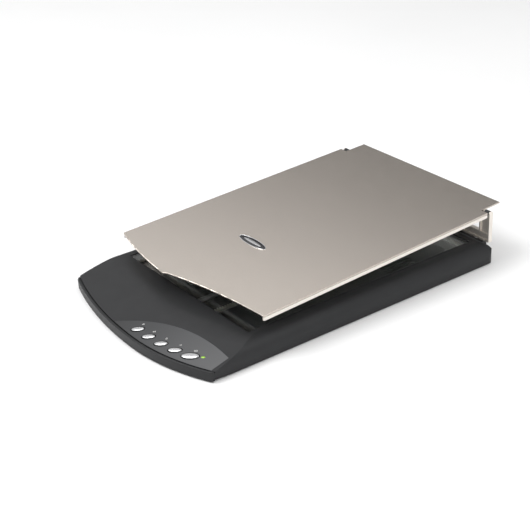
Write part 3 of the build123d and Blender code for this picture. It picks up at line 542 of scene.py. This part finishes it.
def panel_marks():
    for node, shapes in PICTOGRAMS.items():
        centre = local_frame(node, press_normal(node))
        long_side = centre.col[0].to_3d()
        if long_side.x < 0:
            long_side.negate()
        x = centre.translation.x + LABEL_SIDE
        y = centre.translation.y + LABEL_BEHIND
        matrix = on_surface("control_panel", x, y, long_side)
        printed(node + "_label", shapes, matrix)


# ---- Badge ---------------------------------------------------------------------------------
BADGE_RIM = 0.7 * MM
BEZEL_WALL = 0.2 * MM
BEZEL_RISE = 0.5 * MM
BADGE_PLATE = ((0.96, 0), (0.96, 0.3), (0.92, 0.5), (0.78, 0.62), (0.4, 0.68))
BADGE_LENS = ((1.0, 0.3), (1.0, 0.68), (0.93, 0.8), (0.7, 0.9), (0.4, 0.95))
LENS_SHARE = (0.66, 0.34)    # of the badge's length and width


def ring_band(outer, inner, profile, steps):
    """Closed ring between two outlines; profile holds (share from outer to inner, height)."""
    verts, faces = [], []
    for index in range(steps):
        t = tau * index / steps
        xo, yo = outer(t)
        xi, yi = inner(t)
        for share, height in profile:
            verts.append((xo + (xi - xo) * share, yo + (yi - yo) * share, height))
    count = len(profile)
    for index in range(steps):
        after = (index + 1) % steps
        for level in range(count):
            above = (level + 1) % count
            faces.append((index * count + level, after * count + level,
                          after * count + above, index * count + above))
    return verts, faces


def half_round(z0, rise, count=8):
    """Ring section: flat below, half round above."""
    points = [(0.0, z0)]
    for step in range(count + 1):
        turn = pi * step / count
        points.append((0.5 - 0.5 * cos(turn), z0 + BEZEL_WALL + rise * sin(turn)))
    points.append((1.0, z0))
    return points


def badge():
    """Plain oval badge: dark crowned plate, bright rim and a blank silver lens."""
    matrix = flat_frame("badge_rim", (0, 0, 1))
    low, high = local_extent("badge_rim", matrix)
    a, b, base = high[0], high[1], low[2]
    verts, faces = stacked_rings(raised(BADGE_PLATE, base), 96, ellipse(a, b))
    plate = new_piece("badge_plate", verts, faces, "badge_black", "lid", matrix)
    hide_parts("lid_badge")
    inner = ellipse(a - BADGE_RIM, b - BADGE_RIM)
    verts, faces = ring_band(ellipse(a, b), inner, half_round(base, BEZEL_RISE), 96)
    rim = new_piece("badge_bezel", verts, faces, "chrome", "lid", matrix)
    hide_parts("badge_rim")
    lens = ellipse(a * LENS_SHARE[0], b * LENS_SHARE[1])
    verts, faces = stacked_rings(raised(BADGE_LENS, base), 72, lens)
    new_piece("badge_lens", verts, faces, "silver_button", "lid", matrix)


# ---- Arm tops: black caps as painted shade -------------------------------------------------
ARM_SHADE_WRAP = (radians(55), radians(200))     # from behind the top round to the front
ARM_SHADE_SKIN = (-0.35 * MM, 0.12 * MM)         # under and above the arm's own round end
ARM_SHADE_SPAN = (1.3 * MM, 8.4 * MM)            # in from the arm's outer side
ARM_SHADE_SOFTEN = 0.12 * MM
ARM_SHADE_STEPS = 20


def arm_shade_caps():
    """Black caps round the front of both arms' tops, where the lid turns on them: painted shade where the arms'
    fronts lie in shadow.
    """
    low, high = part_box("hinge_frame")
    pin_low, pin_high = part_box("lid_pivot_pins")
    centre = (pin_low + pin_high) / 2
    radius = high.z - centre.z
    for name, side in (("arm_shade_cap_left", -1), ("arm_shade_cap_right", 1)):
        verts = []
        for step in range(ARM_SHADE_STEPS + 1):
            turn = ARM_SHADE_WRAP[0] + (ARM_SHADE_WRAP[1] - ARM_SHADE_WRAP[0]) * step / ARM_SHADE_STEPS
            for inset_x, skin in ((ARM_SHADE_SPAN[0], ARM_SHADE_SKIN[0]), (ARM_SHADE_SPAN[0], ARM_SHADE_SKIN[1]),
                                  (ARM_SHADE_SPAN[1], ARM_SHADE_SKIN[1]), (ARM_SHADE_SPAN[1], ARM_SHADE_SKIN[0])):
                reach = radius + skin
                verts.append((side * (high.x - inset_x), centre.y + reach * cos(turn),
                              centre.z + reach * sin(turn)))
        faces = bridged(ARM_SHADE_STEPS + 1, 4)
        # The black plastic of these caps is painted shade, not a part of its own.
        cap = new_piece(name, verts, faces, "black_plastic", "lift_frame")
        soften = cap.modifiers.new("soften", "BEVEL")
        soften.width = ARM_SHADE_SOFTEN
        soften.segments = 2
        soften.limit_method = "ANGLE"
        soften.angle_limit = radians(40)
        soften.harden_normals = True


# ---- Lid pad -------------------------------------------------------------------------------
PAD_ROLL = 0.9 * MM
PAD_SEAL = 4.0 * MM
PAD_CLEAR = 0.1 * MM
PAD_CORNER_R = 2.2 * MM
PAD_INNER_R = 0.8 * MM
PAD_ROLL_STEPS = 6
# Pressed line across its width: (offset, depth) in millimetres, with two level loops inside it.
PAD_SEAL_LINE = ((-1.2, 0), (-0.5, 0.28), (0, 0.38), (0.5, 0.28), (1.2, 0), (1.8, 0), (2.4, 0))


def mat_outline(corners, distance, steps=8):
    """Square-cornered outline moved inwards by distance, then each corner rounded."""
    moved = []
    for index, corner in enumerate(corners):
        here = Vector(corner)
        arrive = (here - Vector(corners[index - 1])).normalized()
        leave = (Vector(corners[(index + 1) % len(corners)]) - here).normalized()
        inward = Vector((-arrive.y, arrive.x)) + Vector((-leave.y, leave.x))
        moved.append((here + inward * distance, arrive, leave))
    points = []
    for here, arrive, leave in moved:
        if arrive.cross(leave) > 0:
            radius = max(PAD_CORNER_R - distance, PAD_INNER_R)
        else:
            radius = PAD_INNER_R + distance
        centre = here + (leave - arrive) * radius
        start = here - arrive * radius - centre
        end = here + leave * radius - centre
        for step in range(steps + 1):
            turn = (pi / 2) * step / steps
            points.append(centre + start * cos(turn) + end * sin(turn))
    return points


def pad_corners(matrix):
    """Corners of the CAD pad in plan, anticlockwise: its two ends differ in width."""
    local = local_points("lid_pad", matrix)
    x0, x1 = local[:, 0].min(), local[:, 0].max()
    y0 = local[local[:, 0] < x0 + MM][:, 1].max()
    y1 = local[local[:, 0] > x1 - MM][:, 1].max()
    between = local[(local[:, 0] > x0 + MM) & (local[:, 0] < x1 - MM)]
    step = between[:, 0].min()
    return [(x0, -y0), (step, -y0), (step, -y1), (x1, -y1),
            (x1, y1), (step, y1), (step, y0), (x0, y0)]


def pad_levels(bottom, top):
    """Loops of the pad as (distance in from its outline, height), from the back of the pad."""
    levels = [(0.0, bottom)]
    for step in range(PAD_ROLL_STEPS + 1):
        turn = (pi / 2) * step / PAD_ROLL_STEPS
        levels.append((PAD_ROLL * (1 - cos(turn)), top - PAD_ROLL * (1 - sin(turn))))
    return levels + [(PAD_SEAL + offset * MM, top - depth * MM) for offset, depth in PAD_SEAL_LINE]


def foam_pad():
    """Document mat: rolled edges and a line pressed into its skin all round."""
    matrix = flat_frame("lid_pad", (0, 0, -1))
    low, high = local_extent("lid_pad", matrix)
    corners = pad_corners(matrix)
    levels = pad_levels(low[2], high[2])
    verts = []
    for distance, height in levels:
        verts += [(p.x, p.y, height) for p in mat_outline(corners, PAD_CLEAR + distance)]
    faces = bridged(len(levels), len(verts) // len(levels))
    pad = new_piece("document_mat", verts, faces, "foam_pad", "lid", matrix)
    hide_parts("lid_pad")


# ---- Feet ----------------------------------------------------------------------------------
# Sole of a foot from its hollow middle outwards: (share of the radius, height in millimetres).
SOLE = ((0.30, 0.0), (0.34, 0.35), (0.42, 0.35), (0.46, 0.0), (0.62, 0.0), (0.66, 0.35),
        (0.74, 0.35), (0.78, 0.0), (0.92, 0.0), (0.975, 0.12), (1.0, 0.4), (1.0, 1.6))


def rubber_feet():
    """Round feet with a rolled rim and two shallow rings moulded in the sole."""
    points = node_points("rubber_feet")
    rings = raised(SOLE, 0.0)
    verts, faces = [], []
    for pair in (points[points[:, 1] > 0], points[points[:, 1] < 0]):
        inner, outer = np.abs(pair[:, 0]).min(), np.abs(pair[:, 0]).max()
        radius = (outer - inner) / 2
        y = (pair[:, 1].min() + pair[:, 1].max()) / 2
        for x in (radius - outer, outer - radius):
            foot, sides = stacked_rings(rings, 56, ellipse(radius, radius))
            first = len(verts)
            verts += [(x + u, y + v, w) for u, v, w in foot]
            faces += [tuple(first + index for index in side) for side in sides]
    feet = new_piece("foot_soles", verts, faces, "rubber", "case")
    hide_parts("rubber_feet")


dress_cad_nodes()
for button in PICTOGRAMS:
    dome_button(button)
lamp()
panel_marks()
badge()
arm_shade_caps()
foam_pad()
rubber_feet()


# ---- Camera, floor, light -----------------------------------------------------------------
CAMERA_PLACE = (0.9618, -0.7043, 0.6236)
CAMERA_YAW = 50.683
CAMERA_PITCH = 27.283
CAMERA_ROLL = -0.911
CAMERA_LENS = 83.97
CAMERA_SHIFT = (-0.1527, 0.0014)


def add_camera():
    data = bpy.data.cameras.new("camera")
    data.lens = CAMERA_LENS
    data.sensor_width = 36.0
    data.shift_x, data.shift_y = CAMERA_SHIFT
    camera = bpy.data.objects.new("camera", data)
    bpy.context.scene.collection.objects.link(camera)
    turn = (Matrix.Rotation(radians(CAMERA_YAW), 4, "Z")
            @ Matrix.Rotation(radians(90 - CAMERA_PITCH), 4, "X")
            @ Matrix.Rotation(radians(CAMERA_ROLL), 4, "Z"))
    camera.matrix_world = Matrix.Translation(CAMERA_PLACE) @ turn
    bpy.context.scene.camera = camera


def add_floor():
    mesh = bpy.data.meshes.new("floor")
    half = 4.0
    mesh.from_pydata([(-half, -half, 0), (half, -half, 0), (half, half, 0), (-half, half, 0)],
                     [], [(0, 1, 2, 3)])
    floor = bpy.data.objects.new("floor", mesh)
    bpy.context.scene.collection.objects.link(floor)
    mat = new_material("floor")
    where = place(mat)
    mottle(mat, where, (0.93, 0.93, 0.93), 3.0, 0.01)
    shader(mat).inputs["Roughness"].default_value = 0.9
    floor.data.materials.append(mat)


def add_area(name, place_at, target, size, power):
    data = bpy.data.lights.new(name, "AREA")
    data.shape = "RECTANGLE"
    data.size, data.size_y = size
    data.energy = power
    light = bpy.data.objects.new(name, data)
    bpy.context.scene.collection.objects.link(light)
    light.location = place_at
    light.rotation_mode = "QUATERNION"
    light.rotation_quaternion = (Vector(target) - Vector(place_at)).to_track_quat("-Z", "Y")


SKY_RISE = (-0.266, -0.325, 1.0)
SKY_STRENGTH = 1.5
# Grey levels of the surround from its dark side (0) to its bright side (1).
SKY = ((0.0, 0.54), (0.20, 0.08), (0.40, 0.13), (0.46, 0.20), (0.50, 0.30),
       (0.54, 0.50), (0.59, 0.84), (0.74, 0.50))


def add_world():
    """Soft studio surround that brightens upwards and towards the front left."""
    world = bpy.data.worlds.new("studio")
    bpy.context.scene.world = world
    world.use_nodes = True
    coords = add(world, "ShaderNodeTexCoord")
    along = add(world, "ShaderNodeVectorMath", operation="DOT_PRODUCT")
    along.inputs[1].default_value = SKY_RISE
    link(world, coords.outputs["Generated"], along.inputs[0])
    tone = ramp(world, along.outputs["Value"], [(at, (level,) * 3) for at, level in SKY])
    background = world.node_tree.nodes["Background"]
    link(world, tone, background.inputs["Color"])
    background.inputs["Strength"].default_value = SKY_STRENGTH


add_camera()
add_floor()
add_world()
add_area("key", (-0.6, -0.9, 1.6), (0, 0, 0), (1.2, 1.2), 22)
add_area("fill", (1.3, 0.2, 1.1), (0, 0, 0), (0.9, 0.9), 9)
bpy.context.scene.view_settings.view_transform = "Standard"
